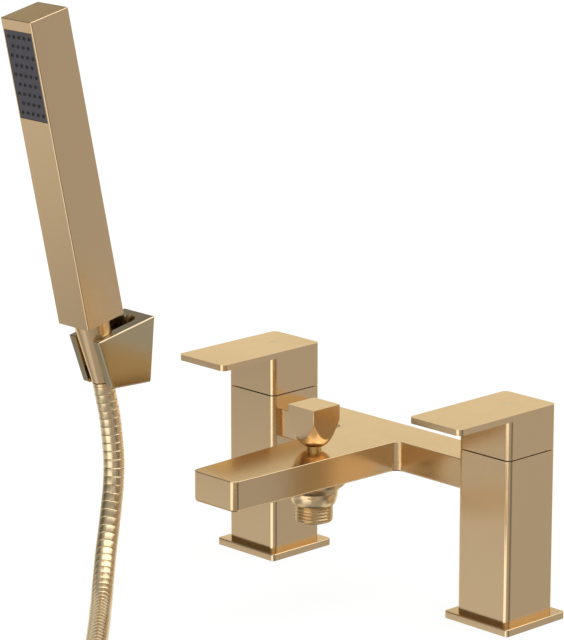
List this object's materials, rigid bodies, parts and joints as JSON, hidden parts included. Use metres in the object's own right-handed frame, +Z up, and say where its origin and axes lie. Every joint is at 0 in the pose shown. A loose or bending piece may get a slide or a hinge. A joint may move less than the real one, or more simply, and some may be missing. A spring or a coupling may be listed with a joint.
{
  "type": "bath shower mixer",
  "caption": "Deck-mounted bath mixer in brushed brass with square pillars, flat levers, a flat spout, a pull-up diverter and a bar handset on a hose.",
  "frame": {"origin": "on the deck, midway between the axes of the two pillars", "axes": "+X runs along the bridge to the right pillar as seen from the spout's side, -Y is the way the spout points, +Z is up"},
  "size_m": [0.323, 0.3451, 0.3283],
  "materials": {
    "brushed_brass": "brushed satin",
    "deep_brass": "polished",
    "hose_cover": "satin, ribbed",
    "steel": "satin",
    "rubber": "matt",
    "spray_grey": "matt",
    "grey_plastic": "matt",
    "ceramic": "polished ceramic"
  },
  "bodies": {
    "mixer": {"left_pillar": "brushed_brass", "right_pillar": "brushed_brass", "bridge": "brushed_brass", "spout": "brushed_brass", "left_base_plate": "brushed_brass", "left_base_gasket": "rubber", "left_cartridge_body": "deep_brass", "left_fixed_disc": "ceramic", "left_cartridge_seal": "rubber", "right_base_plate": "brushed_brass", "right_base_gasket": "rubber", "right_cartridge_body": "deep_brass", "right_fixed_disc": "ceramic", "right_cartridge_seal": "rubber", "diverter_oring": "rubber", "diverter_spring": "steel", "shower_outlet": "deep_brass", "aerator_housing": "brushed_brass", "aerator_insert": "grey_plastic", "bracket_body": "brushed_brass", "bracket_wall_plate": "steel", "bracket_screw": "steel", "bracket_liner": "rubber", "hose_tube": "hose_cover", "hose_coil": "hose_cover", "hose_end_ferrule": "deep_brass", "hose_end_washer": "rubber"},
    "left_lever": {"left_lever_handle": "brushed_brass", "left_lever_index": "deep_brass", "left_lever_screw": "steel", "left_cartridge_spindle": "steel", "left_spindle_oring": "rubber", "left_moving_disc": "ceramic"},
    "right_lever": {"right_lever_handle": "brushed_brass", "right_lever_index": "deep_brass", "right_lever_screw": "steel", "right_cartridge_spindle": "steel", "right_spindle_oring": "rubber", "right_moving_disc": "ceramic"},
    "diverter": {"diverter_knob": "brushed_brass", "diverter_spindle": "deep_brass", "diverter_valve": "deep_brass", "diverter_seal": "rubber"},
    "hose_end": {"hose_ferrule": "deep_brass"},
    "handset": {"handset_body": "brushed_brass", "spray_plate": "spray_grey", "spray_nozzles": "rubber", "handset_waterway": "grey_plastic", "handset_connector": "deep_brass", "handset_washer": "rubber", "hose_cone_nut": "brushed_brass"},
    "end_nut": {"hose_end_nut": "brushed_brass"}
  },
  "joints": [
    {"name": "left_lever_turn", "type": "hinge", "parent": "mixer", "child": "left_lever", "pos_m": [-0.09, 0, 0.1], "axis": [0, 0, 1], "range_deg": [-90, 0]},
    {"name": "right_lever_turn", "type": "hinge", "parent": "mixer", "child": "right_lever", "pos_m": [0.09, 0, 0.1], "axis": [0, 0, 1], "range_deg": [0, 90]},
    {"name": "diverter_lift", "type": "slide", "parent": "mixer", "child": "diverter", "axis": [0, 0, 1], "range_m": [0, 0.0054], "stiffness_N_per_m": 150, "deforming": ["diverter_spring"]},
    {"name": "handset_lift", "type": "slide", "parent": "mixer", "child": "hose_end", "axis": [0, -0.2079, 0.9781], "range_m": [0, 0.045]},
    {"name": "handset_swivel", "type": "hinge", "parent": "hose_end", "child": "handset", "pos_m": [-0.1117, -0.11833, 0.15138], "axis": [0, -0.2079, 0.9781], "continuous": true},
    {"name": "end_nut_spin", "type": "hinge", "parent": "mixer", "child": "end_nut", "pos_m": [0.10395, -0.3092, 0.02626], "axis": [0.7193, -0.6947, 0], "continuous": true}
  ]
}
